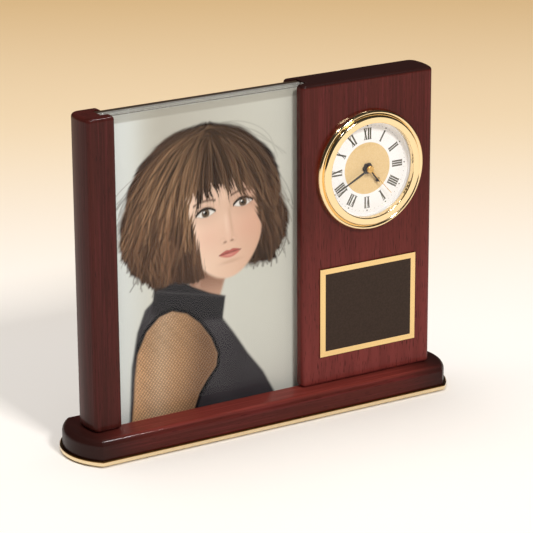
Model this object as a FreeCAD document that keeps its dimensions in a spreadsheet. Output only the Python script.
import FreeCAD, Part
import math
import os

import Sketcher

# Photo frame clock: a polished wood stand with a glass-fronted picture pocket on the left
# and a wide wood panel on the right that holds a round clock insert and a plaque.
# The front of the stand faces -Y, +Z is up, and the origin is under the middle of the base.

# Driving sizes in millimetres, and plain counts of teeth, spokes and screws.
SIZES = {
    # base: felt, brass-tone plate and arc-ended wood plinth
    "felt_thickness": 0.8,
    "felt_inset": 3.0,
    "plate_thickness": 3.0,
    "plate_overhang": 1.6,
    "plate_chamfer": 0.5,
    "base_straight_length": 223.0,
    "base_depth": 45.0,
    "base_end_bulge": 10.0,
    "base_thickness": 11.2,
    "base_top_round": 4.0,
    "base_slot_depth": 3.0,
    # uprights: the narrow post on the left and the clock panel on the right
    "upright_span": 218.0,
    "upright_thickness": 22.2,
    "upright_height": 177.8,
    "post_width": 16.0,
    "panel_width": 86.3,
    "upright_side_bulge": 2.0,
    "upright_front_round": 3.0,
    "upright_back_round": 5.5,
    "upright_inner_round": 2.6,
    "upright_end_round": 2.2,
    "groove_lip": 5.8,
    # picture pocket: pane, print, card and back board in one groove
    "print_width": 127.0,
    "print_height": 177.8,
    "print_thickness": 0.3,
    "pane_thickness": 5.0,
    "pane_side_clearance": 0.35,
    "pane_top_setback": 0.5,
    "pane_chamfer": 0.4,
    "card_thickness": 1.6,
    "card_top_setback": 0.9,
    "board_thickness": 3.0,
    "board_top_setback": 0.7,
    "stack_clearance": 0.15,
    # plaque on the panel
    "plaque_width": 64.5,
    "plaque_height": 53.0,
    "plaque_thickness": 0.8,
    "plaque_chamfer": 0.25,
    "plaque_film_thickness": 0.3,
    "plaque_film_inset": 1.5,
    "plaque_above_base": 16.8,
    "plaque_from_panel_edge": 43.6,
    # wood screws up into the uprights, and short screws through the brass-tone plate
    "upright_screw_radius": 1.75,
    "upright_screw_length": 28.0,
    "upright_screw_head_radius": 3.4,
    "plate_screw_radius": 1.4,
    "plate_screw_length": 9.0,
    "plate_screw_head_radius": 2.8,
    "plate_screw_inset": 28.0,
    "plate_screw_edge_distance": 7.0,
    "screw_clearance": 0.03,
    "recess_width": 0.7,
    # clock insert: place on the panel, bore, bezel, lens and case
    "clock_above_base": 124.0,
    "clock_from_panel_edge": 44.0,
    "panel_bore_radius": 30.25,
    "bore_chamfer": 0.6,
    "bezel_radius": 35.0,
    "bezel_height": 5.0,
    "bezel_opening_radius": 27.35,
    "bezel_skirt": 1.1,
    "insert_clearance": 0.05,
    "lens_edge_overlap": 1.35,
    "lens_seat": 0.3,
    "lens_thickness": 1.2,
    "lens_dome_rise": 3.8,
    "lens_rim_width": 1.8,
    "dial_setback": 2.0,
    "dial_thickness": 0.4,
    "case_flange_thickness": 1.15,
    "case_collar_radius": 29.9,
    "case_collar_depth": 3.4,
    "case_wall": 1.3,
    "case_radius": 28.9,
    "case_floor_thickness": 1.5,
    "grip_radius": 30.15,
    "grip_length": 6.6,
    "grip_offset": 5.0,
    # hands
    "bushing_radius": 2.6,
    "bushing_proud": 0.6,
    "nut_radius": 3.4,
    "nut_thickness": 1.0,
    "hand_thickness": 0.3,
    "hand_step": 0.7,
    "hour_hand_lift": 1.25,
    "hour_hand_length": 12.0,
    "hour_hand_width": 2.9,
    "hour_hub_radius": 2.7,
    "minute_hand_length": 24.3,
    "minute_hand_width": 1.3,
    "minute_hub_radius": 2.3,
    "second_hand_length": 21.3,
    "second_hand_width": 0.45,
    "second_cap_radius": 2.1,
    "second_cap_height": 1.1,
    "second_cap_round": 0.3,
    # arbors and tubes that carry the hands
    "second_arbor_radius": 0.5,
    "running_gap": 0.06,
    "tube_wall": 0.55,
    "pivot_radius": 0.4,
    "pivot_depth": 0.7,
    "wheel_post_radius": 0.6,
    # wheel train
    "wheel_thickness": 0.7,
    "wheel_layer_gap": 0.55,
    "wheel_hub_extra": 0.5,
    "minute_hub_wall": 0.15,
    "pinion_teeth": 8,
    "cannon_teeth": 10,
    "minute_wheel_teeth": 30,
    "hour_wheel_teeth": 32,
    "centre_wheel_teeth": 64,
    "third_wheel_teeth": 60,
    "second_wheel_teeth": 48,
    "idler_wheel_teeth": 40,
    "setting_teeth": 10,
    "third_axis_y": 8.0,
    "idler_axis_x": 8.4,
    "rotor_axis_x": 11.4,
    "rotor_axis_y": 5.2,
    "minute_axis_y": 6.0,
    # movement shells
    "movement_left": 20.0,
    "movement_right": 21.0,
    "movement_top": 16.5,
    "movement_bottom": 17.0,
    "movement_corner_round": 3.0,
    "movement_plate_thickness": 1.2,
    "movement_wall": 1.2,
    "movement_gap": 0.3,
    "screw_boss_radius": 1.75,
    # motor, circuit and battery
    "rotor_magnet_radius": 1.6,
    "rotor_magnet_thickness": 1.4,
    "rotor_air_gap": 0.4,
    "stator_thickness": 0.8,
    "stator_arm_width": 1.8,
    "stator_margin": 0.5,
    "coil_radius": 2.0,
    "coil_flange": 0.8,
    "coil_wall": 0.4,
    "circuit_thickness": 0.8,
    "circuit_width": 11.0,
    "circuit_height": 11.0,
    "circuit_left": 3.0,
    "chip_radius": 2.4,
    "chip_height": 0.35,
    "crystal_radius": 0.9,
    "crystal_length": 6.0,
    "battery_radius": 5.8,
    "battery_height": 5.4,
    "battery_rim_radius": 4.9,
    "battery_rim_step": 0.4,
    "battery_axis_x": 12.6,
    "battery_axis_y": 8.3,
    "battery_side_clearance": 0.3,
    "battery_well_wall": 0.75,
    "contact_thickness": 0.2,
    "contact_radius": 3.6,
    "hatch_radius": 7.9,
    "hatch_flange": 0.8,
    "hatch_slot_width": 1.4,
    "hatch_slot_length": 9.0,
    "hatch_slot_depth": 0.5,
    # case screws and setting knob at the back
    "case_screw_radius": 0.8,
    "case_screw_head_radius": 1.7,
    "case_screw_head_height": 0.9,
    "case_screw_grip": 4.0,
    "case_screw_a_x": 16.3,
    "case_screw_a_y": 12.8,
    "case_screw_b_x": 17.3,
    "case_screw_b_y": 13.2,
    "knob_stem_radius": 1.0,
    "knob_radius": 4.5,
    "knob_height": 3.6,
    "knob_flutes": 18,
    "knob_flute_radius": 0.45,
    "knob_stand_off": 0.6,
}

# The time shown, in degrees clockwise from twelve.
MINUTE_HAND_TURN = 243.0
HOUR_HAND_TURN = 140.25
SECOND_HAND_TURN = 138.0

# A cut starts this far outside the piece that it enters.
OVERRUN_SHARE = 0.1
TOUCH = 0.001

DOC = FreeCAD.newDocument("photo_frame_clock")
SHEET = DOC.addObject("Spreadsheet::Sheet", "sizes")


class Size:
    """A number that also knows the sheet formula that it comes from."""

    def __init__(self, value, formula):
        self.value = value
        self.formula = formula

    def joined(self, sign, other, value, swapped=False):
        first, second = (other, self) if swapped else (self, other)
        return Size(value, "(%s %s %s)" % (first.formula, sign, second.formula))

    def __add__(self, other):
        other = as_size(other)
        return self.joined("+", other, self.value + other.value)

    def __sub__(self, other):
        other = as_size(other)
        return self.joined("-", other, self.value - other.value)

    def __mul__(self, other):
        other = as_size(other)
        return self.joined("*", other, self.value * other.value)

    def __truediv__(self, other):
        other = as_size(other)
        return self.joined("/", other, self.value / other.value)

    def __rmul__(self, other):
        return as_size(other) * self

    def __neg__(self):
        return Size(-self.value, "(-%s)" % self.formula)

    def root(self):
        return Size(math.sqrt(self.value), "sqrt(%s)" % self.formula)


def as_size(number):
    return number if isinstance(number, Size) else Size(float(number), repr(float(number)))


class Sheet:
    """The driving sizes, each a Size under its alias."""


dim = Sheet()
for row, (alias, number) in enumerate(SIZES.items(), start=1):
    SHEET.set("A%d" % row, alias)
    SHEET.set("B%d" % row, str(number))
    SHEET.setAlias("B%d" % row, alias)
    setattr(dim, alias, Size(float(number), "sizes.%s" % alias))
DOC.recompute()


# Helpers that draw bound sketches and add features.

def bind(target, path, size):
    target.setExpression(path, as_size(size).formula)


def put(target, x, y, z, rotation=None):
    """Places a sub-part, with its three coordinates bound to the sheet."""
    x, y, z = as_size(x), as_size(y), as_size(z)
    place = FreeCAD.Vector(x.value, y.value, z.value)
    target.Placement = FreeCAD.Placement(place, rotation or FreeCAD.Rotation())
    for axis, size in (("x", x), ("y", y), ("z", z)):
        bind(target, "Placement.Base." + axis, size)


def new_body(label, x=0, y=0, z=0, rotation=None):
    body = DOC.addObject("PartDesign::Body", label)
    body.Label = label
    put(body, x, y, z, rotation)
    return body


def origin_plane(body, role):
    return [plane for plane in body.Origin.OriginFeatures if plane.Role == role][0]


def new_sketch(body, name, role="XY_Plane", lift=0):
    sketch = body.newObject("Sketcher::SketchObject", body.Label + "_" + name)
    sketch.AttachmentSupport = [(origin_plane(body, role), "")]
    sketch.MapMode = "FlatFace"
    bind(sketch, "AttachmentOffset.Base.z", lift)
    return sketch


def end_at(sketch, edge, point):
    """1 if the edge starts at the point, 2 if it ends there."""
    start = sketch.Geometry[edge].StartPoint
    return 1 if start.distanceToPoint(point) < TOUCH else 2


def pin_point(sketch, edge, end, x, y):
    sketch.setExpression("Constraints[%d]" % sketch.addConstraint(
        Sketcher.Constraint("DistanceX", -1, 1, edge, end, x.value)), x.formula)
    sketch.setExpression("Constraints[%d]" % sketch.addConstraint(
        Sketcher.Constraint("DistanceY", -1, 1, edge, end, y.value)), y.formula)


def pin_radius(sketch, edge, radius):
    constraint = sketch.addConstraint(Sketcher.Constraint("Radius", edge, radius.value))
    sketch.setExpression("Constraints[%d]" % constraint, radius.formula)


def trace(sketch, outline):
    """Draws a closed outline. Each point is (x, y) or (x, y, bulge), and a bulge turns
    the edge that leaves the point into an arc, to the left of its direction if positive."""
    steps = [[as_size(part) for part in step] for step in outline]
    points = [FreeCAD.Vector(step[0].value, step[1].value, 0) for step in steps]
    first = sketch.GeometryCount
    count = len(steps)
    for index, step in enumerate(steps):
        start, end = points[index], points[(index + 1) % count]
        if len(step) == 2:
            sketch.addGeometry(Part.LineSegment(start, end), False)
            continue
        along = end - start
        left = FreeCAD.Vector(-along.y, along.x, 0).normalize()
        middle = (start + end) * 0.5 + left * step[2].value
        turns_right = step[2].value > 0
        ends = (end, start) if turns_right else (start, end)
        sketch.addGeometry(Part.Arc(ends[0], middle, ends[1]), False)
    for index, step in enumerate(steps):
        edge, before = first + index, first + (index - 1) % count
        end = end_at(sketch, edge, points[index])
        meeting = end_at(sketch, before, points[index])
        sketch.addConstraint(Sketcher.Constraint("Coincident", before, meeting, edge, end))
        pin_point(sketch, edge, end, step[0], step[1])
        if len(step) == 3:
            following = steps[(index + 1) % count]
            across, up = following[0] - step[0], following[1] - step[1]
            bulge = step[2] if step[2].value > 0 else -step[2]
            pin_radius(sketch, edge, (across * across + up * up) / (bulge * 8) + bulge / 2)
    return sketch


def trace_box(sketch, x_low, x_high, y_low, y_high):
    return trace(sketch, [(x_low, y_low), (x_high, y_low), (x_high, y_high), (x_low, y_high)])


def trace_circles(sketch, radius, centres=((0, 0),)):
    radius = as_size(radius)
    for x, y in centres:
        x, y = as_size(x), as_size(y)
        centre = FreeCAD.Vector(x.value, y.value, 0)
        circle = Part.Circle(centre, FreeCAD.Vector(0, 0, 1), radius.value)
        edge = sketch.addGeometry(circle, False)
        pin_point(sketch, edge, 3, x, y)
        pin_radius(sketch, edge, radius)
    return sketch


def pad(body, sketch, length, downward=False):
    feature = body.newObject("PartDesign::Pad", sketch.Name + "_pad")
    feature.Profile = sketch
    feature.Reversed = downward
    bind(feature, "Length", length)
    DOC.recompute()
    return feature


def pocket(body, sketch, depth=None, upward=False, both_ways=False):
    """Cuts down from the sketch, or up, or both ways, to a depth or right through."""
    feature = body.newObject("PartDesign::Pocket", sketch.Name + "_pocket")
    feature.Profile = sketch
    feature.Reversed = upward
    if both_ways:
        feature.SideType = "Symmetric"
    if depth is None:
        feature.Type = "ThroughAll"
    else:
        bind(feature, "Length", depth)
    DOC.recompute()
    if feature.BaseFeature.Shape.Volume - feature.Shape.Volume < TOUCH:
        raise RuntimeError(feature.Name + " cuts nothing")
    return feature


def revolve(body, sketch):
    feature = body.newObject("PartDesign::Revolution", sketch.Name + "_turned")
    feature.Profile = sketch
    feature.ReferenceAxis = (sketch, ["V_Axis"])
    DOC.recompute()
    return feature


def dress(body, kind, size_name, size, picks):
    """Rounds or chamfers each edge of the tip that the test picks."""
    DOC.recompute()
    base = body.Tip
    edges = ["Edge%d" % (i + 1) for i, edge in enumerate(base.Shape.Edges) if picks(edge)]
    if not edges:
        raise RuntimeError(body.Label + " has no edge to dress")
    feature = body.newObject("PartDesign::" + kind, "%s_%s" % (body.Label, kind.lower()))
    feature.Base = (base, edges)
    bind(feature, size_name, size)
    DOC.recompute()
    return feature


def round_edges(body, radius, picks):
    return dress(body, "Fillet", "Radius", radius, picks)


def chamfer_edges(body, size, picks):
    return dress(body, "Chamfer", "Size", size, picks)


def level(edge, height):
    """The edge lies flat at this height."""
    box = edge.BoundBox
    return abs(box.ZMin - height.value) < TOUCH and abs(box.ZMax - height.value) < TOUCH


def upright_edge(edge, x=None, y=None):
    """The edge runs along Z, at this x and y where they are given."""
    box = edge.BoundBox
    thin = box.XLength < TOUCH and box.YLength < TOUCH
    at_x = x is None or abs(box.XMin - as_size(x).value) < TOUCH
    at_y = y is None or abs(box.YMin - as_size(y).value) < TOUCH
    return thin and at_x and at_y


# Levels and faces that several pieces share.

plate_bottom = dim.felt_thickness
plinth_bottom = plate_bottom + dim.plate_thickness
base_top = plinth_bottom + dim.base_thickness
slot_floor = base_top - dim.base_slot_depth
upright_top = base_top + dim.upright_height
front_face = -dim.upright_thickness / 2
back_face = dim.upright_thickness / 2
outer_x = dim.upright_span / 2
post_inner_x = -outer_x + dim.post_width
panel_inner_x = outer_x - dim.panel_width
pocket_width = dim.print_width + dim.pane_side_clearance * 2
groove_depth = (pocket_width - (panel_inner_x - post_inner_x)) / 2
pocket_left = post_inner_x - groove_depth
pocket_right = panel_inner_x + groove_depth
pocket_front = front_face + dim.groove_lip
pane_front = pocket_front + dim.stack_clearance
print_front = pane_front + dim.pane_thickness + dim.stack_clearance
card_front = print_front + dim.print_thickness + dim.stack_clearance
board_front = card_front + dim.card_thickness + dim.stack_clearance
pocket_back = board_front + dim.board_thickness + dim.stack_clearance
clock_x = panel_inner_x + dim.clock_from_panel_edge
clock_z = base_top + dim.clock_above_base
plaque_x = panel_inner_x + dim.plaque_from_panel_edge
base_radius = dim.base_depth * dim.base_depth / (dim.base_end_bulge * 8) + dim.base_end_bulge / 2
upright_screw_depth = dim.upright_screw_length - dim.base_thickness


# Base.

def base_outline(sketch, grow):
    """The arc-ended plan of the base, grown outwards or, if negative, shrunk."""
    half_depth = dim.base_depth / 2 + grow
    radius = base_radius + grow
    reach = dim.base_straight_length / 2 + dim.base_end_bulge + grow
    corner = reach - radius + (radius * radius - half_depth * half_depth).root()
    bulge = corner - reach
    return trace(sketch, [
        (-corner, -half_depth),
        (corner, -half_depth, bulge),
        (corner, half_depth),
        (-corner, half_depth, bulge),
    ])


RECESS_REACH_SHARE = 0.6
RECESS_DEPTH_SHARE = 0.8


def cross_recess(body, head_radius, head_depth, lift):
    """Two crossing slots in a screw's head, cut upwards from its face."""
    reach = head_radius * RECESS_REACH_SHARE
    half = dim.recess_width / 2
    for name, wide, deep in (("recess_a", reach, half), ("recess_b", half, reach)):
        sketch = trace_box(new_sketch(body, name, lift=lift), -wide, wide, -deep, deep)
        pocket(body, sketch, head_depth * RECESS_DEPTH_SHARE, upward=True)


def countersunk_screw(name, radius, length, head_radius):
    """One cross-recessed wood screw, head down, with its head's face at the origin."""
    screw = new_body(name)
    head = head_radius - radius
    point = radius * 2
    revolve(screw, trace(new_sketch(screw, "profile", "XZ_Plane"), [
        (0, 0),
        (head_radius, 0),
        (radius, head),
        (radius, length - point),
        (0, length),
    ]))
    cross_recess(screw, head_radius, head, 0)
    return screw


def group(label, piece, places):
    """Copies of one piece as separate solids under one label."""
    feature = DOC.addObject("Part::Feature", label)
    copies = []
    for x, y, z in places:
        copy = piece.Shape.copy()
        copy.translate(FreeCAD.Vector(as_size(x).value, as_size(y).value, as_size(z).value))
        copies.append(copy)
    feature.Shape = Part.makeCompound(copies)
    feature.Label = label
    return feature


PANEL_SCREW_SHARE = 0.2
POST_SCREW_SHARE = 0.25

upright_screw_x = (-outer_x + pocket_left) / 2
panel_screw_low_x = pocket_right + dim.panel_width * PANEL_SCREW_SHARE
panel_screw_high_x = outer_x - dim.panel_width * PANEL_SCREW_SHARE
post_screw_y = dim.upright_thickness * POST_SCREW_SHARE
upright_screw_places = [
    (upright_screw_x, -post_screw_y),
    (upright_screw_x, post_screw_y),
    (panel_screw_low_x, 0),
    (panel_screw_high_x, 0),
]
plate_screw_x = dim.base_straight_length / 2 - dim.plate_screw_inset
plate_screw_y = dim.base_depth / 2 - dim.plate_screw_edge_distance
plate_screw_places = [
    (plate_screw_x * side, plate_screw_y * end)
    for side in (-1, 1)
    for end in (-1, 1)
]


def felt_pad():
    body = new_body("felt_pad")
    pad(body, base_outline(new_sketch(body, "plan"), -dim.felt_inset), dim.felt_thickness)
    return body


def countersinks(body, places, radius, head_radius):
    """Cones for screw heads, with their mouths at the bottom of a flat piece."""
    radius = radius + dim.screw_clearance
    head_radius = head_radius + dim.screw_clearance
    depth = head_radius - radius
    for index, (x, y) in enumerate(places):
        cone = trace(new_sketch(body, "countersink_%d" % index, "XZ_Plane", -as_size(y)), [
            (x, 0),
            (x + head_radius, 0),
            (x + radius, depth),
            (x, depth),
        ])
        low = FreeCAD.Vector(as_size(x).value, 0, 0)
        axis = cone.addGeometry(Part.LineSegment(low, low + FreeCAD.Vector(0, depth.value, 0)), True)
        cone.addConstraint(Sketcher.Constraint("Coincident", axis, 1, 0, 1))
        cone.addConstraint(Sketcher.Constraint("Coincident", axis, 2, 2, 2))
        groove = body.newObject("PartDesign::Groove", cone.Name + "_groove")
        groove.Profile = cone
        groove.ReferenceAxis = (cone, ["Axis0"])
        DOC.recompute()
        if groove.BaseFeature.Shape.Volume - groove.Shape.Volume < TOUCH:
            raise RuntimeError(groove.Name + " cuts nothing")


def base_trim_plate():
    body = new_body("base_trim_plate", 0, 0, plate_bottom)
    pad(body, base_outline(new_sketch(body, "plan"), dim.plate_overhang), dim.plate_thickness)
    loops = (as_size(0), dim.plate_thickness)
    chamfer_edges(body, dim.plate_chamfer, lambda edge: any(level(edge, z) for z in loops))
    radius = dim.plate_screw_radius + dim.screw_clearance
    pocket(body, trace_circles(new_sketch(body, "screw_holes"), radius, plate_screw_places), upward=True)
    countersinks(body, plate_screw_places, dim.plate_screw_radius, dim.plate_screw_head_radius)
    return body


def base_plinth():
    body = new_body("base_plinth", 0, 0, plinth_bottom)
    pad(body, base_outline(new_sketch(body, "plan"), as_size(0)), dim.base_thickness)
    round_edges(body, dim.base_top_round, lambda edge: level(edge, dim.base_thickness))
    slot = new_sketch(body, "slot", lift=dim.base_thickness)
    trace_box(slot, pocket_left, pocket_right, pocket_front, pocket_back)
    pocket(body, slot, dim.base_slot_depth)
    radius = dim.upright_screw_radius + dim.screw_clearance
    pocket(body, trace_circles(new_sketch(body, "through_holes"), radius, upright_screw_places), upward=True)
    countersinks(body, upright_screw_places, dim.upright_screw_radius, dim.upright_screw_head_radius)
    pilot = trace_circles(new_sketch(body, "pilot_holes"), dim.plate_screw_radius + dim.screw_clearance,
                          plate_screw_places)
    pocket(body, pilot, dim.plate_screw_length - dim.plate_thickness + dim.screw_clearance, upward=True)
    return body


# Uprights.

def upright(label, side, inner_x):
    """A post or panel. Its outer side bows outwards, and its inner side has the groove."""
    body = new_body(label, 0, 0, base_top)
    outer = outer_x * side
    pad(body, trace(new_sketch(body, "plan"), [
        (inner_x, front_face),
        (outer, front_face, dim.upright_side_bulge * -side),
        (outer, back_face),
        (inner_x, back_face),
    ]), dim.upright_height)
    round_edges(body, dim.upright_front_round, lambda edge: upright_edge(edge, outer, front_face))
    round_edges(body, dim.upright_back_round, lambda edge: upright_edge(edge, outer, back_face))
    round_edges(body, dim.upright_inner_round, lambda edge: upright_edge(edge, inner_x))
    ends = (as_size(0), dim.upright_height)
    round_edges(body, dim.upright_end_round, lambda edge: any(level(edge, z) for z in ends))
    groove_end = inner_x + groove_depth * side
    mouth = inner_x - groove_depth * side * OVERRUN_SHARE
    low, high = (mouth, groove_end) if side > 0 else (groove_end, mouth)
    groove = trace_box(new_sketch(body, "groove"), low, high, pocket_front, pocket_back)
    pocket(body, groove, upward=True)
    return body


def screw_holes_below(body, places):
    holes = new_sketch(body, "screw_holes")
    trace_circles(holes, dim.upright_screw_radius + dim.screw_clearance, places)
    pocket(body, holes, upright_screw_depth + dim.screw_clearance, upward=True)


def left_post():
    body = upright("left_post", -1, post_inner_x)
    screw_holes_below(body, upright_screw_places[:2])
    return body


def clock_panel():
    body = upright("clock_panel", 1, panel_inner_x)
    screw_holes_below(body, upright_screw_places[2:])
    bore = new_sketch(body, "clock_bore", "XZ_Plane")
    trace_circles(bore, dim.panel_bore_radius, [(clock_x, dim.clock_above_base)])
    pocket(body, bore, both_ways=True)
    rim = dim.panel_bore_radius * 2

    def back_rim(edge):
        box = edge.BoundBox
        flat = abs(box.YMin - back_face.value) < TOUCH and abs(box.YMax - back_face.value) < TOUCH
        return flat and abs(box.XLength - rim.value) < TOUCH

    chamfer_edges(body, dim.bore_chamfer, back_rim)
    return body


# Picture pocket.

def sheet_piece(label, front, thickness, bottom, height):
    """A flat rectangle that stands in the grooves."""
    half = dim.print_width / 2
    middle = (pocket_left + pocket_right) / 2
    body = new_body(label, middle, front, bottom)
    pad(body, trace_box(new_sketch(body, "plan"), -half, half, 0, thickness), height)
    return body


def glass_pane():
    height = upright_top - dim.pane_top_setback - slot_floor
    body = sheet_piece("glass_pane", pane_front, dim.pane_thickness, slot_floor, height)
    faces = (0, dim.pane_thickness.value)

    def outer_rim(edge):
        box = edge.BoundBox
        return box.YLength < TOUCH and any(abs(box.YMin - y) < TOUCH for y in faces)

    chamfer_edges(body, dim.pane_chamfer, outer_rim)
    return body


def picture_print():
    return sheet_piece("picture_print", print_front, dim.print_thickness, slot_floor, dim.print_height)


def backing_card():
    height = upright_top - dim.card_top_setback - slot_floor
    return sheet_piece("backing_card", card_front, dim.card_thickness, slot_floor, height)


def back_board():
    height = upright_top - dim.board_top_setback - slot_floor
    return sheet_piece("back_board", board_front, dim.board_thickness, slot_floor, height)


# Plaque.

def plaque_piece(label, thickness, inset, gap):
    body = new_body(label, plaque_x, front_face - gap, base_top + dim.plaque_above_base)
    half = dim.plaque_width / 2 - inset
    sketch = new_sketch(body, "face", "XZ_Plane")
    trace_box(sketch, -half, half, inset, dim.plaque_height - inset)
    pad(body, sketch, thickness)
    return body


def plaque_film():
    return plaque_piece("plaque_film", dim.plaque_film_thickness, dim.plaque_film_inset, as_size(0))


def plaque_plate():
    body = plaque_piece("plaque_plate", dim.plaque_thickness, as_size(0), dim.plaque_film_thickness)

    def front_rim(edge):
        box = edge.BoundBox
        return box.YLength < TOUCH and abs(box.YMin + dim.plaque_thickness.value) < TOUCH

    chamfer_edges(body, dim.plaque_chamfer, front_rim)
    return body


# Clock insert. Its pieces are drawn about the clock's axis, with local Z towards the front
# and zero at the front face of the panel, so depths in the panel are negative.

FACING = FreeCAD.Rotation(FreeCAD.Vector(1, 0, 0), 90)

lens_radius = dim.bezel_opening_radius + dim.lens_edge_overlap
lens_back = dim.lens_seat
lens_front = lens_back + dim.lens_thickness
dial_front = -dim.dial_setback
dial_back = dial_front - dim.dial_thickness
plate_front = dial_back - dim.insert_clearance
plate_back = plate_front - dim.movement_plate_thickness
case_flange_radius = dim.bezel_radius - dim.bezel_skirt - dim.insert_clearance
case_inner_radius = dim.case_radius - dim.case_wall
dial_seat_radius = lens_radius + dim.insert_clearance


def layer_front(index):
    """Front of a wheel layer, counted from the dial."""
    return plate_back - dim.movement_gap - (dim.wheel_thickness + dim.wheel_layer_gap) * index


def layer_back(index):
    return layer_front(index) - dim.wheel_thickness


magnet_front = layer_back(5) - dim.wheel_layer_gap
magnet_back = magnet_front - dim.rotor_magnet_thickness
circuit_front = magnet_back - dim.wheel_layer_gap
circuit_back = circuit_front - dim.circuit_thickness
cover_inner = circuit_back - dim.movement_gap
cover_back = cover_inner - dim.movement_wall
case_inner = cover_back - dim.movement_gap
case_back = case_inner - dim.case_floor_thickness


def on_clock(label, x=0, y=0, turn=0.0):
    """A body on an axis of the clock, with its local Z towards the front."""
    rotation = FACING.multiply(FreeCAD.Rotation(FreeCAD.Vector(0, 0, 1), turn))
    return new_body(label, clock_x + x, front_face, clock_z + y, rotation)


def turned_body(label, profile):
    """A piece turned about the clock's axis from (radius, height) points."""
    body = on_clock(label)
    revolve(body, trace(new_sketch(body, "profile", "XZ_Plane"), profile))
    return body


def bezel():
    """A stepped ring: an outer bead, a fine groove, an inner bead and a lip over the lens."""
    width = dim.bezel_radius - dim.bezel_opening_radius
    # across the ring, up its height, and how far the arc to the next point swells
    relief_shares = [
        (1.000, 0.30, 0.055),
        (0.800, 0.97, 0.030),
        (0.600, 0.86, None),
        (0.575, 0.78, None),
        (0.550, 0.86, 0.075),
        (0.130, 0.60, None),
        (0.060, 0.46, None),
        (0.000, 0.42, None),
    ]
    relief = []
    for across_share, height_share, swell_share in relief_shares:
        point = (dim.bezel_opening_radius + width * across_share, dim.bezel_height * height_share)
        relief.append(point if swell_share is None else point + (-(width * swell_share),))
    rebate_top = dim.case_flange_thickness + dim.insert_clearance
    seat = lens_front + dim.insert_clearance
    profile = [(dim.bezel_radius, 0)] + relief + [
        (dim.bezel_opening_radius, seat),
        (dial_seat_radius, seat),
        (dial_seat_radius, rebate_top),
        (dim.bezel_radius - dim.bezel_skirt, rebate_top),
        (dim.bezel_radius - dim.bezel_skirt, 0),
    ]
    return turned_body("bezel", profile)


def lens():
    """A domed disc with a flat rim that the bezel holds down."""
    rim = lens_radius - dim.lens_rim_width
    rise = dim.lens_dome_rise
    chord_square = rim * rim + rise * rise
    dome_radius = chord_square / (rise * 2)
    bulge = dome_radius - (dome_radius * dome_radius - chord_square / 4).root()
    return turned_body("lens", [
        (0, lens_back + rise, bulge),
        (rim, lens_back),
        (lens_radius, lens_back),
        (lens_radius, lens_front),
        (rim, lens_front, -bulge),
        (0, lens_front + rise),
    ])


def dial_ring():
    return turned_body("dial_ring", [
        (dim.bezel_opening_radius, dial_front),
        (lens_radius, dial_front),
        (lens_radius, lens_back - dim.insert_clearance),
        (dim.bezel_opening_radius, lens_back - dim.insert_clearance),
    ])


def dial_plate():
    return turned_body("dial_plate", [
        (dim.bushing_radius + dim.insert_clearance, dial_back),
        (lens_radius, dial_back),
        (lens_radius, dial_front),
        (dim.bushing_radius + dim.insert_clearance, dial_front),
    ])


def case_cup():
    """The black cup that passes through the panel's bore, with a flange behind the bezel."""
    body = turned_body("insert_case", [
        (0, case_back),
        (dim.case_radius, case_back),
        (dim.case_radius, -dim.case_collar_depth),
        (dim.case_collar_radius, -dim.case_collar_depth),
        (dim.case_collar_radius, 0),
        (case_flange_radius, 0),
        (case_flange_radius, dim.case_flange_thickness),
        (dial_seat_radius, dim.case_flange_thickness),
        (dial_seat_radius, dial_back),
        (case_inner_radius, dial_back),
        (case_inner_radius, case_inner),
        (0, case_inner),
    ])
    hatch_seat = trace_circles(new_sketch(body, "hatch_seat", lift=case_back),
                               dim.hatch_radius + dim.insert_clearance, [battery_axis])
    pocket(body, hatch_seat, dim.hatch_flange, upward=True)
    opening = trace_circles(new_sketch(body, "battery_opening", lift=case_back),
                            well_radius, [battery_axis])
    pocket(body, opening, dim.case_floor_thickness, upward=True)
    stem_hole = trace_circles(new_sketch(body, "stem_hole", lift=case_back),
                              dim.knob_stem_radius + dim.running_gap, [setting_axis])
    pocket(body, stem_hole, dim.case_floor_thickness, upward=True)
    screw_holes = trace_circles(new_sketch(body, "screw_holes", lift=case_back),
                                dim.case_screw_radius + dim.screw_clearance, case_screw_axes)
    pocket(body, screw_holes, dim.case_floor_thickness, upward=True)
    return body


GRIP_RIBS = 3
GRIP_WEB_SHARE = 0.45
GRIP_SLOPE_SHARE = 0.3


def grip_ring():
    """A ribbed rubber ring that holds the insert in the bore by friction."""
    start = -dim.grip_offset
    inner = dim.case_radius + dim.insert_clearance
    web = inner + (dim.grip_radius - inner) * GRIP_WEB_SHARE
    pitch = dim.grip_length / GRIP_RIBS
    slope = pitch * GRIP_SLOPE_SHARE
    profile = [(inner, start)]
    for index in range(GRIP_RIBS):
        top = start - pitch * index
        profile += [
            (web, top),
            (dim.grip_radius, top - slope),
            (dim.grip_radius, top - pitch + slope),
        ]
    profile += [(web, start - dim.grip_length), (inner, start - dim.grip_length)]
    return turned_body("grip_ring", profile)


# Axes of the movement, as (x, y) from the clock's axis.

centre_axis = (as_size(0), as_size(0))
third_axis = (as_size(0), dim.third_axis_y)
idler_axis = (-dim.idler_axis_x, as_size(0))
rotor_axis = (-dim.rotor_axis_x, -dim.rotor_axis_y)
minute_axis = (as_size(0), -dim.minute_axis_y)
setting_axis = (as_size(0), -dim.minute_axis_y * 2)
battery_axis = (dim.battery_axis_x, dim.battery_axis_y)
case_screw_axes = [(-dim.case_screw_a_x, dim.case_screw_a_y), (dim.case_screw_b_x, -dim.case_screw_b_y)]
well_radius = dim.battery_radius + dim.battery_side_clearance
pivot_hole_radius = dim.pivot_radius + dim.running_gap

cannon_bore = dim.second_arbor_radius + dim.running_gap
cannon_radius = cannon_bore + dim.tube_wall
hour_bore = cannon_radius + dim.running_gap
hour_tube_radius = hour_bore + dim.tube_wall
bushing_bore = hour_tube_radius + dim.running_gap

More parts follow.
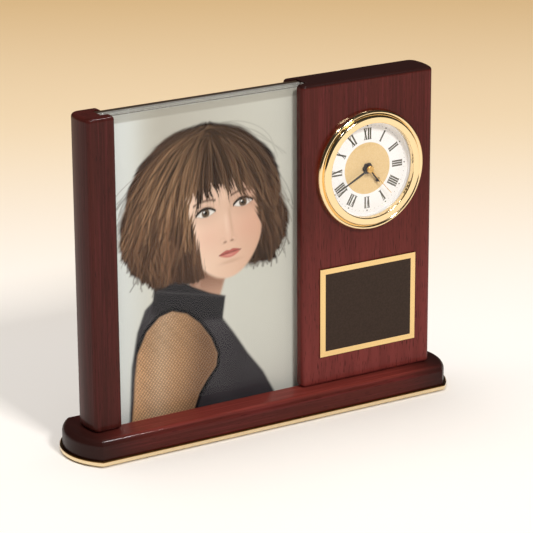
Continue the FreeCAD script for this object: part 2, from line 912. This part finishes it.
hour_hand_back = dial_front + dim.hour_hand_lift
minute_hand_back = hour_hand_back + dim.hand_step + dim.hand_thickness
second_hand_back = minute_hand_back + dim.hand_step


# Hands and the nut that clamps the dial.

def dial_nut():
    body = on_clock("dial_nut")
    sketch = new_sketch(body, "hexagon", lift=dial_front)
    half = dim.nut_radius / 2
    tall = dim.nut_radius * math.sqrt(3) / 2
    trace(sketch, [
        (dim.nut_radius, 0),
        (half, tall),
        (-half, tall),
        (-dim.nut_radius, 0),
        (-half, -tall),
        (half, -tall),
    ])
    trace_circles(sketch, dim.bushing_radius + dim.screw_clearance)
    pad(body, sketch, dim.nut_thickness)
    return body


def hand_body(label, turn, back, hub_radius, bore_radius, blade):
    """A flat hand with a round hub. Its blade points to local +Y."""
    body = on_clock(label, turn=-turn)
    hub = trace_circles(new_sketch(body, "hub", lift=back), hub_radius)
    pad(body, hub, dim.hand_thickness)
    pad(body, trace(new_sketch(body, "blade", lift=back), blade), dim.hand_thickness)
    if bore_radius is not None:
        pocket(body, trace_circles(new_sketch(body, "bore", lift=back), bore_radius),
               dim.hand_thickness, upward=True)
    return body


def hour_hand():
    """A thin shank that opens into a spade and ends in a point."""
    # half width and length, where the whole blade is 1 and 1
    shank_share, neck_share, swell_share = 0.26, 0.23, 0.22
    spade_start_share, spade_wide_share, point_start_share = 0.66, 0.76, 0.88
    half = dim.hour_hand_width / 2
    reach = dim.hour_hand_length
    swell = -(half * swell_share)
    blade = [
        (-half * shank_share, 0),
        (half * shank_share, 0),
        (half * shank_share, reach * spade_start_share),
        (half, reach * spade_wide_share, swell),
        (half * neck_share, reach * point_start_share),
        (0, reach),
        (-half * neck_share, reach * point_start_share, swell),
        (-half, reach * spade_wide_share),
        (-half * shank_share, reach * spade_start_share),
    ]
    return hand_body("hour_hand", HOUR_HAND_TURN, hour_hand_back, dim.hour_hub_radius,
                     hour_tube_radius + dim.screw_clearance, blade)


def minute_hand():
    """A slim leaf, widest at a quarter of its length and pointed at its end."""
    root_share, tip_share = 0.7, 0.3
    wide_share, point_start_share = 0.25, 0.97
    half = dim.minute_hand_width / 2
    reach = dim.minute_hand_length
    blade = [
        (-half * root_share, 0),
        (half * root_share, 0),
        (half, reach * wide_share),
        (half * tip_share, reach * point_start_share),
        (0, reach),
        (-half * tip_share, reach * point_start_share),
        (-half, reach * wide_share),
    ]
    return hand_body("minute_hand", MINUTE_HAND_TURN, minute_hand_back, dim.minute_hub_radius,
                     cannon_radius + dim.screw_clearance, blade)


def second_hand():
    """A needle with a round cap that closes the hands' hub."""
    tip_share = 0.6
    half = dim.second_hand_width / 2
    reach = dim.second_hand_length
    blade = [(-half, 0), (half, 0), (half * tip_share, reach), (-half * tip_share, reach)]
    body = hand_body("second_hand", SECOND_HAND_TURN, second_hand_back, dim.second_cap_radius, None, blade)
    cap = trace_circles(new_sketch(body, "cap", lift=second_hand_back + dim.hand_thickness),
                        dim.second_cap_radius)
    pad(body, cap, dim.second_cap_height - dim.hand_thickness)
    top = second_hand_back + dim.second_cap_height
    round_edges(body, dim.second_cap_round, lambda edge: level(edge, top))
    socket = trace_circles(new_sketch(body, "socket", lift=second_hand_back),
                           dim.second_arbor_radius + dim.screw_clearance)
    pocket(body, socket, dim.hand_thickness, upward=True)
    return body


# Toothed wheels. Leaves and teeth have radial flanks and round tops, as in clock trains.

TOOTH_SHARE = 0.50
LEAF_SHARE = 0.33
ROOT_ROOM_SHARE = 0.25


def toothed_face(teeth, module, thick_share, turn, bore):
    """The face of a wheel or pinion, with the middle of a tooth at the given turn."""
    pitch_radius = module * teeth / 2
    half = math.pi * thick_share / teeth
    top = module * math.pi * thick_share / 2
    other_top = module * math.pi * (TOOTH_SHARE + LEAF_SHARE - thick_share) / 2
    root_radius = pitch_radius - other_top - module * ROOT_ROOM_SHARE
    edges = []
    step = 2 * math.pi / teeth

    def polar(radius, angle):
        return FreeCAD.Vector(radius * math.cos(angle), radius * math.sin(angle), 0)

    for index in range(teeth):
        middle = turn + step * index
        root_low, root_high = polar(root_radius, middle - half), polar(root_radius, middle + half)
        flank_low, flank_high = polar(pitch_radius, middle - half), polar(pitch_radius, middle + half)
        tip = polar(pitch_radius + top, middle)
        following = polar(root_radius, middle + step - half)
        valley = polar(root_radius, middle + step / 2)
        edges.append(Part.LineSegment(root_low, flank_low).toShape())
        edges.append(Part.Arc(flank_low, tip, flank_high).toShape())
        edges.append(Part.LineSegment(flank_high, root_high).toShape())
        edges.append(Part.Arc(root_high, valley, following).toShape())
    face = Part.Face(Part.Wire(edges))
    if bore:
        circle = Part.Circle(FreeCAD.Vector(), FreeCAD.Vector(0, 0, 1), bore)
        face = face.cut(Part.Face(Part.Wire(circle.toShape())))
    return face


def toothed_disc(teeth, module, share, turn, front, bore=0.0, thickness=None):
    deep = thickness or dim.wheel_thickness.value
    face = toothed_face(int(teeth.value), module, share, turn, bore)
    disc = face.extrude(FreeCAD.Vector(0, 0, -deep))
    disc.translate(FreeCAD.Vector(0, 0, front.value))
    return disc


def rod(radius, front, back, bore=0.0):
    """A round rod or tube on the local axis between two depths."""
    length = front.value - back.value
    start = FreeCAD.Vector(0, 0, back.value)
    shape = Part.makeCylinder(radius.value, length, start)
    if bore:
        shape = shape.cut(Part.makeCylinder(bore.value, length, start))
    return shape


def wheel_part(label, axis, shapes):
    """One turning piece of the train, fused from its wheel, pinion and arbor."""
    feature = DOC.addObject("Part::Feature", label)
    shape = shapes[0]
    for other in shapes[1:]:
        shape = shape.fuse(other)
    feature.Shape = shape.removeSplitter()
    feature.Label = label
    put(feature, clock_x + axis[0], front_face, clock_z + axis[1], FACING)
    return feature


def distance(a, b):
    return math.hypot(a[0].value - b[0].value, a[1].value - b[1].value)


def module_of(a, b, teeth_a, teeth_b):
    """The module that makes two wheels meet on their line of centres."""
    return 2 * distance(a, b) / (teeth_a.value + teeth_b.value)


def meshed_turn(a, b, turn_a, teeth_a, teeth_b):
    """The turn of wheel b that puts one of its gaps on wheel a's tooth."""
    line = math.atan2(b[1].value - a[1].value, b[0].value - a[0].value)
    offset = (line - turn_a) * teeth_a.value / (2 * math.pi)
    return line + math.pi - (0.5 - offset) * 2 * math.pi / teeth_b.value


motion_module = module_of(centre_axis, minute_axis, dim.cannon_teeth, dim.minute_wheel_teeth)
hour_module = module_of(centre_axis, minute_axis, dim.hour_wheel_teeth, dim.pinion_teeth)
third_module = module_of(centre_axis, third_axis, dim.pinion_teeth, dim.third_wheel_teeth)
centre_module = module_of(centre_axis, third_axis, dim.centre_wheel_teeth, dim.pinion_teeth)
second_module = module_of(centre_axis, idler_axis, dim.second_wheel_teeth, dim.pinion_teeth)
idler_module = module_of(idler_axis, rotor_axis, dim.idler_wheel_teeth, dim.pinion_teeth)
setting_module = module_of(minute_axis, setting_axis, dim.minute_wheel_teeth, dim.setting_teeth)

pivot_front = plate_back + dim.pivot_depth
pivot_back = cover_inner - dim.pivot_depth


def minute_arbor():
    """The cannon tube with its leaves. It carries the minute hand."""
    tube = rod(cannon_radius, minute_hand_back + dim.hand_thickness, layer_back(2), cannon_bore)
    leaves = toothed_disc(dim.cannon_teeth, motion_module, LEAF_SHARE, 0.0, layer_front(1), cannon_bore.value)
    return wheel_part("minute_arbor", centre_axis, [tube, leaves])


def hour_wheel():
    """The hour wheel and the tube that carries the hour hand."""
    turn = meshed_turn(minute_axis, centre_axis, 0.0, dim.pinion_teeth, dim.hour_wheel_teeth)
    tube = rod(hour_tube_radius, hour_hand_back + dim.hand_thickness, layer_back(0), hour_bore)
    disc = toothed_disc(dim.hour_wheel_teeth, hour_module, TOOTH_SHARE, turn, layer_front(0), hour_bore.value)
    return wheel_part("hour_wheel", centre_axis, [tube, disc])


def minute_wheel_turn():
    return meshed_turn(centre_axis, minute_axis, 0.0, dim.cannon_teeth, dim.minute_wheel_teeth)


def minute_wheel():
    """The motion-work wheel on a fixed post, between the cannon leaves and the hour wheel."""
    bore = dim.wheel_post_radius + dim.running_gap
    wheel = toothed_disc(dim.minute_wheel_teeth, motion_module, TOOTH_SHARE, minute_wheel_turn(),
                         layer_front(1), bore.value)
    pinion = toothed_disc(dim.pinion_teeth, hour_module, LEAF_SHARE, 0.0, layer_front(0), bore.value)
    hub = rod(bore + dim.minute_hub_wall, layer_front(0), layer_back(1), bore)
    return wheel_part("minute_wheel", minute_axis, [wheel, pinion, hub])


def setting_stem():
    """The stem behind the clock that turns the motion work through its own leaves."""
    turn = meshed_turn(minute_axis, setting_axis, minute_wheel_turn(),
                       dim.minute_wheel_teeth, dim.setting_teeth)
    leaves = toothed_disc(dim.setting_teeth, setting_module, LEAF_SHARE, turn, layer_front(1))
    stem = rod(dim.knob_stem_radius, layer_front(1), knob_front - dim.knob_height / 2)
    pivot = rod(dim.pivot_radius, pivot_front, layer_front(1))
    return wheel_part("setting_stem", setting_axis, [leaves, stem, pivot])


def centre_wheel():
    """The slipping wheel on the cannon tube, which the train drives once an hour."""
    bore = cannon_radius + dim.running_gap
    turn = meshed_turn(third_axis, centre_axis, 0.0, dim.pinion_teeth, dim.centre_wheel_teeth)
    disc = toothed_disc(dim.centre_wheel_teeth, centre_module, TOOTH_SHARE, turn, layer_front(2), bore.value)
    hub = rod(bore + dim.wheel_hub_extra, layer_front(2), layer_back(2), bore)
    return wheel_part("centre_wheel", centre_axis, [disc, hub])


def third_wheel_turn():
    return meshed_turn(centre_axis, third_axis, 0.0, dim.pinion_teeth, dim.third_wheel_teeth)


def third_wheel():
    wheel = toothed_disc(dim.third_wheel_teeth, third_module, TOOTH_SHARE, third_wheel_turn(), layer_front(3))
    pinion = toothed_disc(dim.pinion_teeth, centre_module, LEAF_SHARE, 0.0, layer_front(2),
                          thickness=(layer_front(2) - layer_front(3)).value)
    arbor = rod(dim.pivot_radius, pivot_front, pivot_back)
    return wheel_part("third_wheel", third_axis, [wheel, pinion, arbor])


def second_wheel_turn():
    return meshed_turn(idler_axis, centre_axis, 0.0, dim.pinion_teeth, dim.second_wheel_teeth)


def second_wheel():
    """The seconds wheel, its pinion and the long arbor that carries the second hand."""
    wheel = toothed_disc(dim.second_wheel_teeth, second_module, TOOTH_SHARE, second_wheel_turn(),
                         layer_front(4))
    pinion = toothed_disc(dim.pinion_teeth, third_module, LEAF_SHARE, 0.0, layer_front(3),
                          thickness=(layer_front(3) - layer_front(4)).value)
    arbor_front = second_hand_back + dim.hand_thickness - dim.screw_clearance
    arbor = rod(dim.second_arbor_radius, arbor_front, layer_back(4))
    tail = rod(dim.pivot_radius, layer_back(4), pivot_back)
    return wheel_part("second_wheel", centre_axis, [wheel, pinion, arbor, tail])


def idler_wheel_turn():
    return meshed_turn(rotor_axis, idler_axis, 0.0, dim.pinion_teeth, dim.idler_wheel_teeth)


def idler_wheel():
    wheel = toothed_disc(dim.idler_wheel_teeth, idler_module, TOOTH_SHARE, idler_wheel_turn(), layer_front(5))
    pinion = toothed_disc(dim.pinion_teeth, second_module, LEAF_SHARE, 0.0, layer_front(4),
                          thickness=(layer_front(4) - layer_front(5)).value)
    arbor = rod(dim.pivot_radius, pivot_front, pivot_back)
    return wheel_part("idler_wheel", idler_axis, [wheel, pinion, arbor])


def motor_rotor():
    """The stepping motor's rotor: a pinion and a round magnet on one arbor."""
    pinion = toothed_disc(dim.pinion_teeth, idler_module, LEAF_SHARE, 0.0, layer_front(5),
                          thickness=(layer_front(5) - magnet_front).value)
    magnet = rod(dim.rotor_magnet_radius, magnet_front, magnet_back)
    arbor = rod(dim.pivot_radius, pivot_front, pivot_back)
    return wheel_part("motor_rotor", rotor_axis, [pinion, magnet, arbor])


# Movement shells, motor, circuit and battery.

stator_middle = (magnet_front + magnet_back) / 2
inner_left = -dim.movement_left + dim.movement_wall
inner_right = dim.movement_right - dim.movement_wall
inner_top = dim.movement_top - dim.movement_wall
inner_bottom = -dim.movement_bottom + dim.movement_wall
screw_tip = layer_back(3)


def corner_edges(body, x_low, x_high, y_low, y_high):
    def picks(edge):
        return any(upright_edge(edge, x, y) for x in (x_low, x_high) for y in (y_low, y_high))
    round_edges(body, dim.movement_corner_round, picks)


def movement_plate():
    """The front shell: a flat plate with the threaded bushing and the bearing holes."""
    body = on_clock("movement_plate")
    plan = new_sketch(body, "plan", lift=plate_back)
    trace_box(plan, -dim.movement_left, dim.movement_right, -dim.movement_bottom, dim.movement_top)
    pad(body, plan, dim.movement_plate_thickness)
    corner_edges(body, -dim.movement_left, dim.movement_right, -dim.movement_bottom, dim.movement_top)
    bushing = trace_circles(new_sketch(body, "bushing", lift=plate_front), dim.bushing_radius)
    pad(body, bushing, dial_front + dim.bushing_proud + dim.nut_thickness / 2 - plate_front)
    post = new_sketch(body, "wheel_post", lift=plate_back)
    trace_circles(post, dim.wheel_post_radius, [minute_axis])
    pad(body, post, plate_back - layer_back(1), downward=True)
    bosses = new_sketch(body, "bosses", lift=plate_back)
    trace_circles(bosses, dim.screw_boss_radius, case_screw_axes)
    pad(body, bosses, plate_back - screw_tip, downward=True)
    pocket(body, trace_circles(new_sketch(body, "bushing_bore"), bushing_bore), both_ways=True)
    pivots = [third_axis, idler_axis, rotor_axis, setting_axis]
    holes = trace_circles(new_sketch(body, "pivot_holes", lift=plate_back), pivot_hole_radius, pivots)
    pocket(body, holes, dim.pivot_depth + dim.running_gap, upward=True)
    threads = trace_circles(new_sketch(body, "screw_threads", lift=screw_tip),
                            dim.case_screw_radius + dim.screw_clearance, case_screw_axes)
    pocket(body, threads, dim.case_screw_grip + dim.screw_clearance, upward=True)
    return body


def movement_cover():
    """The rear shell over the train, with the battery's well and the rear bearings."""
    body = on_clock("movement_cover")
    plan = new_sketch(body, "plan", lift=cover_back)
    trace_box(plan, -dim.movement_left, dim.movement_right, -dim.movement_bottom, dim.movement_top)
    depth = plate_back - cover_back
    pad(body, plan, depth)
    corner_edges(body, -dim.movement_left, dim.movement_right, -dim.movement_bottom, dim.movement_top)
    hollow = trace_box(new_sketch(body, "hollow", lift=plate_back), inner_left, inner_right,
                       inner_bottom, inner_top)
    pocket(body, hollow, plate_back - cover_inner)
    well = trace_circles(new_sketch(body, "battery_well", lift=cover_inner),
                         well_radius + dim.battery_well_wall, [battery_axis])
    pad(body, well, well_floor + dim.battery_well_wall - cover_inner)
    well_hollow = trace_circles(new_sketch(body, "well_hollow", lift=cover_back), well_radius, [battery_axis])
    pocket(body, well_hollow, well_floor - cover_back, upward=True)
    pivots = [third_axis, idler_axis, rotor_axis, centre_axis]
    holes = trace_circles(new_sketch(body, "pivot_holes", lift=cover_inner), pivot_hole_radius, pivots)
    pocket(body, holes, dim.pivot_depth + dim.running_gap)
    stem_hole = trace_circles(new_sketch(body, "stem_hole", lift=cover_back),
                              dim.knob_stem_radius + dim.running_gap, [setting_axis])
    pocket(body, stem_hole, dim.movement_wall, upward=True)
    screw_holes = trace_circles(new_sketch(body, "screw_holes", lift=cover_back),
                                dim.case_screw_radius + dim.screw_clearance, case_screw_axes)
    pocket(body, screw_holes, dim.movement_wall, upward=True)
    return body


battery_back = case_inner - dim.contact_thickness
battery_front = battery_back + dim.battery_height
well_floor = battery_front + dim.contact_thickness + dim.insert_clearance * 2


def battery():
    """A button cell with its smaller pole towards the front."""
    body = on_clock("battery", battery_axis[0], battery_axis[1])
    step = battery_front - dim.battery_rim_step
    sketch = trace(new_sketch(body, "profile", "XZ_Plane"), [
        (0, battery_back),
        (dim.battery_radius, battery_back),
        (dim.battery_radius, step),
        (dim.battery_rim_radius, step),
        (dim.battery_rim_radius, battery_front),
        (0, battery_front),
    ])
    revolve(body, sketch)
    return body


def battery_contact():
    """A thin disc in the bottom of the well that touches the cell's smaller pole."""
    body = on_clock("battery_contact", battery_axis[0], battery_axis[1])
    back = battery_front + dim.insert_clearance
    disc = trace_circles(new_sketch(body, "disc", lift=back), dim.contact_radius)
    pad(body, disc, dim.contact_thickness)
    return body


def battery_hatch():
    """The round cover behind the cell, with a slot for a coin and a raised plug."""
    body = on_clock("battery_hatch", battery_axis[0], battery_axis[1])
    flange = trace_circles(new_sketch(body, "flange", lift=case_back), dim.hatch_radius)
    pad(body, flange, dim.hatch_flange - dim.insert_clearance)
    plug_start = case_back + dim.hatch_flange - dim.insert_clearance
    plug = trace_circles(new_sketch(body, "plug", lift=plug_start), well_radius - dim.insert_clearance)
    pad(body, plug, battery_back - dim.insert_clearance - plug_start)
    half_long, half_wide = dim.hatch_slot_length / 2, dim.hatch_slot_width / 2
    slot = new_sketch(body, "coin_slot", lift=case_back)
    trace_box(slot, -half_long, half_long, -half_wide, half_wide)
    pocket(body, slot, dim.hatch_slot_depth, upward=True)
    return body


coil_left = inner_left + dim.stator_margin + dim.stator_arm_width + dim.stator_margin
coil_right = setting_axis[0] - dim.knob_stem_radius * 2 - dim.stator_arm_width - dim.stator_margin * 2
coil_y = inner_bottom + dim.coil_radius + dim.stator_margin


def stator_plate():
    """The soft-iron frame: a bar through the coil and two arms that ring the magnet."""
    feature = DOC.addObject("Part::Feature", "stator_plate")
    arm = dim.stator_arm_width.value
    margin = dim.stator_margin.value
    thick = dim.stator_thickness.value
    low_x, high_x = coil_left.value - margin - arm, coil_right.value + margin + arm
    low_y, high_y = coil_y.value - arm / 2, rotor_axis[1].value + arm / 2
    base_z = stator_middle.value - thick / 2
    outer = Part.makeBox(high_x - low_x, high_y - low_y, thick, FreeCAD.Vector(low_x, low_y, base_z))
    inner = Part.makeBox(high_x - low_x - 2 * arm, high_y - low_y - 2 * arm, thick,
                         FreeCAD.Vector(low_x + arm, low_y + arm, base_z))
    centre = FreeCAD.Vector(rotor_axis[0].value, rotor_axis[1].value, base_z)
    hole = dim.rotor_magnet_radius.value + dim.rotor_air_gap.value
    ring = Part.makeCylinder(hole + arm / 2, thick, centre)
    shape = outer.cut(inner).fuse(ring).cut(Part.makeCylinder(hole, thick, centre))
    feature.Shape = shape.removeSplitter()
    feature.Label = "stator_plate"
    put(feature, clock_x, front_face, clock_z, FACING)
    return feature


def coil_shape(flange_radius, body_radius, bore_half_width, bore_half_height):
    """A reel along X: two flanges, a round waist and a rectangular bore for the stator."""
    length = coil_right.value - coil_left.value
    start = FreeCAD.Vector(coil_left.value, coil_y.value, stator_middle.value)
    along = FreeCAD.Vector(1, 0, 0)
    flange = dim.coil_flange.value
    waist = Part.makeCylinder(body_radius, length, start, along)
    first = Part.makeCylinder(flange_radius, flange, start, along)
    last = Part.makeCylinder(flange_radius, flange, start + along * (length - flange), along)
    bore = Part.makeBox(length, 2 * bore_half_width, 2 * bore_half_height,
                        start - FreeCAD.Vector(0, bore_half_width, bore_half_height))
    return waist.fuse(first).fuse(last).cut(bore)


coil_bore_width = dim.stator_arm_width / 2 + dim.insert_clearance
coil_bore_height = dim.stator_thickness / 2 + dim.insert_clearance
coil_waist = (coil_bore_width * coil_bore_width + coil_bore_height * coil_bore_height).root() + dim.coil_wall


def coil_bobbin():
    feature = DOC.addObject("Part::Feature", "coil_bobbin")
    shape = coil_shape(dim.coil_radius.value, coil_waist.value, coil_bore_width.value, coil_bore_height.value)
    feature.Shape = shape.removeSplitter()
    feature.Label = "coil_bobbin"
    put(feature, clock_x, front_face, clock_z, FACING)
    return feature


def coil_winding():
    """The copper winding, as one sleeve between the bobbin's flanges."""
    feature = DOC.addObject("Part::Feature", "coil_winding")
    gap = dim.screw_clearance.value
    start_x = coil_left.value + dim.coil_flange.value + gap
    length = coil_right.value - dim.coil_flange.value - gap - start_x
    start = FreeCAD.Vector(start_x, coil_y.value, stator_middle.value)
    along = FreeCAD.Vector(1, 0, 0)
    outer = Part.makeCylinder(dim.coil_radius.value - gap * 2, length, start, along)
    feature.Shape = outer.cut(Part.makeCylinder(coil_waist.value + gap, length, start, along))
    feature.Label = "coil_winding"
    put(feature, clock_x, front_face, clock_z, FACING)
    return feature


circuit_right = dim.circuit_left + dim.circuit_width
circuit_low = inner_bottom + dim.stator_margin
circuit_high = circuit_low + dim.circuit_height

# places across the board and up it
chip_place_shares = (0.33, 0.68)
crystal_place_shares = (0.80, 0.20)


def on_board(label, place_shares):
    across_share, up_share = place_shares
    across = dim.circuit_left + dim.circuit_width * across_share
    return on_clock(label, across, circuit_low + dim.circuit_height * up_share)


def circuit_board():
    body = on_clock("circuit_board")
    plan = new_sketch(body, "plan", lift=circuit_back)
    trace_box(plan, dim.circuit_left, circuit_right, circuit_low, circuit_high)
    pad(body, plan, dim.circuit_thickness)
    return body


def circuit_chip():
    """The round drop of black resin over the chip."""
    body = on_board("circuit_chip", chip_place_shares)
    pad(body, trace_circles(new_sketch(body, "drop", lift=circuit_front), dim.chip_radius), dim.chip_height)
    top = circuit_front + dim.chip_height
    round_edges(body, dim.chip_height / 2, lambda edge: level(edge, top))
    return body


def crystal_can():
    """The quartz crystal's round can, lying on the board."""
    body = on_board("crystal_can", crystal_place_shares)
    sketch = new_sketch(body, "end", "XZ_Plane")
    trace_circles(sketch, dim.crystal_radius, [(0, circuit_front + dim.crystal_radius)])
    pad(body, sketch, dim.crystal_length, downward=True)
    return body


def case_screw():
    """One pan-head screw, head at the back, drawn on its own axis."""
    body = new_body("case_screw_pattern")
    head_back = case_back - dim.case_screw_head_height
    revolve(body, trace(new_sketch(body, "profile", "XZ_Plane"), [
        (0, head_back),
        (dim.case_screw_head_radius, head_back),
        (dim.case_screw_head_radius, case_back),
        (dim.case_screw_radius, case_back),
        (dim.case_screw_radius, screw_tip + dim.case_screw_grip),
        (0, screw_tip + dim.case_screw_grip),
    ]))
    cross_recess(body, dim.case_screw_head_radius, dim.case_screw_head_height, head_back)
    return body


knob_front = case_back - dim.knob_stand_off


def setting_knob():
    """A fluted knob, pressed on the end of the stem."""
    body = on_clock("setting_knob", setting_axis[0], setting_axis[1])
    knob_back = knob_front - dim.knob_height
    pad(body, trace_circles(new_sketch(body, "disc", lift=knob_back), dim.knob_radius), dim.knob_height)
    round_edges(body, dim.knob_flute_radius, lambda edge: level(edge, knob_back))
    flute_sketch = trace_circles(new_sketch(body, "flute", lift=knob_back), dim.knob_flute_radius,
                                 [(dim.knob_radius, 0)])
    flute = pocket(body, flute_sketch, dim.knob_height, upward=True)
    flutes = body.newObject("PartDesign::PolarPattern", "setting_knob_flutes")
    flutes.Originals = [flute]
    flutes.Axis = (flute_sketch, ["N_Axis"])
    bind(flutes, "Occurrences", dim.knob_flutes)
    body.Tip = flutes
    DOC.recompute()
    socket = trace_circles(new_sketch(body, "socket", lift=knob_front),
                           dim.knob_stem_radius + dim.screw_clearance)
    pocket(body, socket, dim.knob_height / 2 + dim.screw_clearance)
    return body


# Make every sub-part, check it and write it.

def screw_group(label, pattern, places, z):
    return group(label, pattern, [(x, y, z) for x, y in places])


upright_screw = countersunk_screw("upright_screw_pattern", dim.upright_screw_radius,
                                  dim.upright_screw_length, dim.upright_screw_head_radius)
plate_screw = countersunk_screw("plate_screw_pattern", dim.plate_screw_radius,
                                dim.plate_screw_length, dim.plate_screw_head_radius)
DOC.recompute()
case_screws = group("case_screws", case_screw(), [(x, y, 0) for x, y in case_screw_axes])
put(case_screws, clock_x, front_face, clock_z, FACING)

SUB_PARTS = [
    felt_pad(),
    base_trim_plate(),
    screw_group("trim_plate_screws", plate_screw, plate_screw_places, plate_bottom),
    base_plinth(),
    screw_group("upright_screws", upright_screw, upright_screw_places, plinth_bottom),
    left_post(),
    clock_panel(),
    back_board(),
    backing_card(),
    picture_print(),
    glass_pane(),
    plaque_film(),
    plaque_plate(),
    bezel(),
    lens(),
    dial_ring(),
    dial_plate(),
    case_cup(),
    grip_ring(),
    dial_nut(),
    hour_hand(),
    minute_hand(),
    second_hand(),
    movement_plate(),
    movement_cover(),
    minute_arbor(),
    hour_wheel(),
    minute_wheel(),
    centre_wheel(),
    third_wheel(),
    second_wheel(),
    idler_wheel(),
    motor_rotor(),
    stator_plate(),
    coil_bobbin(),
    coil_winding(),
    circuit_board(),
    circuit_chip(),
    crystal_can(),
    battery(),
    battery_contact(),
    battery_hatch(),
    setting_stem(),
    setting_knob(),
    case_screws,
]

DOC.recompute()
for item in DOC.Objects:
    if "Invalid" in item.State or "Error" in item.State:
        raise RuntimeError("%s failed: %s" % (item.Name, item.State))
for item in SUB_PARTS:
    if item.Shape.isNull() or not item.Shape.isValid():
        raise RuntimeError(item.Label + " has no valid shape")

os.makedirs("parts", exist_ok=True)
for item in SUB_PARTS:
    item.Shape.exportStep(os.path.join("parts", item.Label + ".step"))
    print("%-18s %2d solid(s) %10.2f mm3" % (item.Label, len(item.Shape.Solids), item.Shape.Volume))
